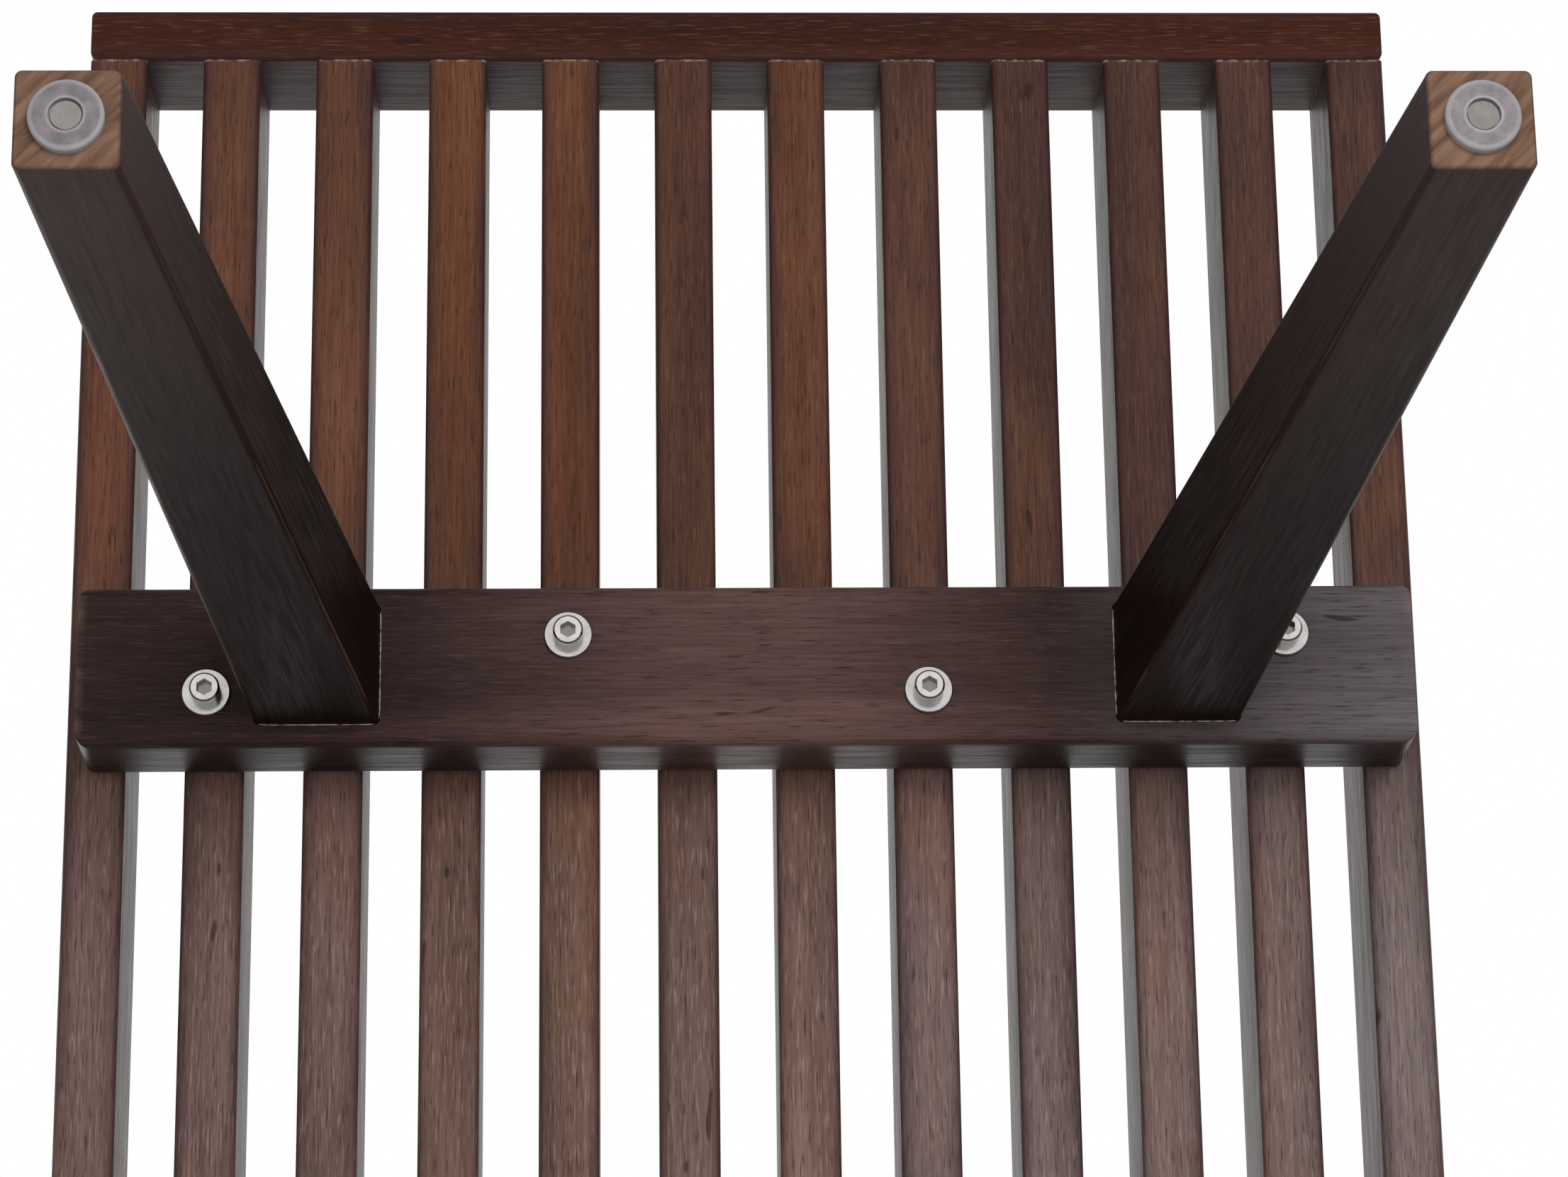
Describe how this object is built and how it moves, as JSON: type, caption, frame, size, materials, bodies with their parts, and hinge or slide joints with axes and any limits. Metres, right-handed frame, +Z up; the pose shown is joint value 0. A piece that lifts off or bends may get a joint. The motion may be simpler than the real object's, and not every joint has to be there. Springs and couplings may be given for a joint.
{
  "type": "slatted luggage bench",
  "caption": "Fixed slatted wooden bench for luggage: slats between end rails, on bolted crossbars with splayed tapered legs and clear foot pads.",
  "frame": {"origin": "on the floor, under the centre of the deck", "axes": "+X along the slats, +Y across the deck, +Z up"},
  "size_m": [1.219, 0.457, 0.454],
  "materials": {
    "rail_wood": "satin open-pore walnut stain",
    "slat_wood": "satin open-pore walnut stain",
    "crossbar_wood": "smooth satin dark stain",
    "leg_wood": "satin near-black stain",
    "dowel_wood": "bare beech",
    "steel": "bright zinc-plated",
    "brass": "machined",
    "clear_plastic": "clear, lightly frosted"
  },
  "bodies": {
    "root": {"end_rail_left": "rail_wood", "end_rail_right": "rail_wood", "side_rail_front": "slat_wood", "side_rail_back": "slat_wood", "slat_01": "slat_wood", "slat_02": "slat_wood", "slat_03": "slat_wood", "slat_04": "slat_wood", "slat_05": "slat_wood", "slat_06": "slat_wood", "slat_07": "slat_wood", "slat_08": "slat_wood", "slat_09": "slat_wood", "slat_10": "slat_wood", "slat_dowels_left": "dowel_wood", "crossbar_left": "crossbar_wood", "leg_screws_left": "steel", "crossbar_bolts_left": "steel", "bolt_washers_left": "steel", "slat_inserts_left": "brass", "leg_left_front": "leg_wood", "foot_pad_left_front": "clear_plastic", "foot_nail_left_front": "steel", "leg_left_back": "leg_wood", "foot_pad_left_back": "clear_plastic", "foot_nail_left_back": "steel", "slat_dowels_right": "dowel_wood", "crossbar_right": "crossbar_wood", "leg_screws_right": "steel", "crossbar_bolts_right": "steel", "bolt_washers_right": "steel", "slat_inserts_right": "brass", "leg_right_front": "leg_wood", "foot_pad_right_front": "clear_plastic", "foot_nail_right_front": "steel", "leg_right_back": "leg_wood", "foot_pad_right_back": "clear_plastic", "foot_nail_right_back": "steel"}
  },
  "joints": []
}
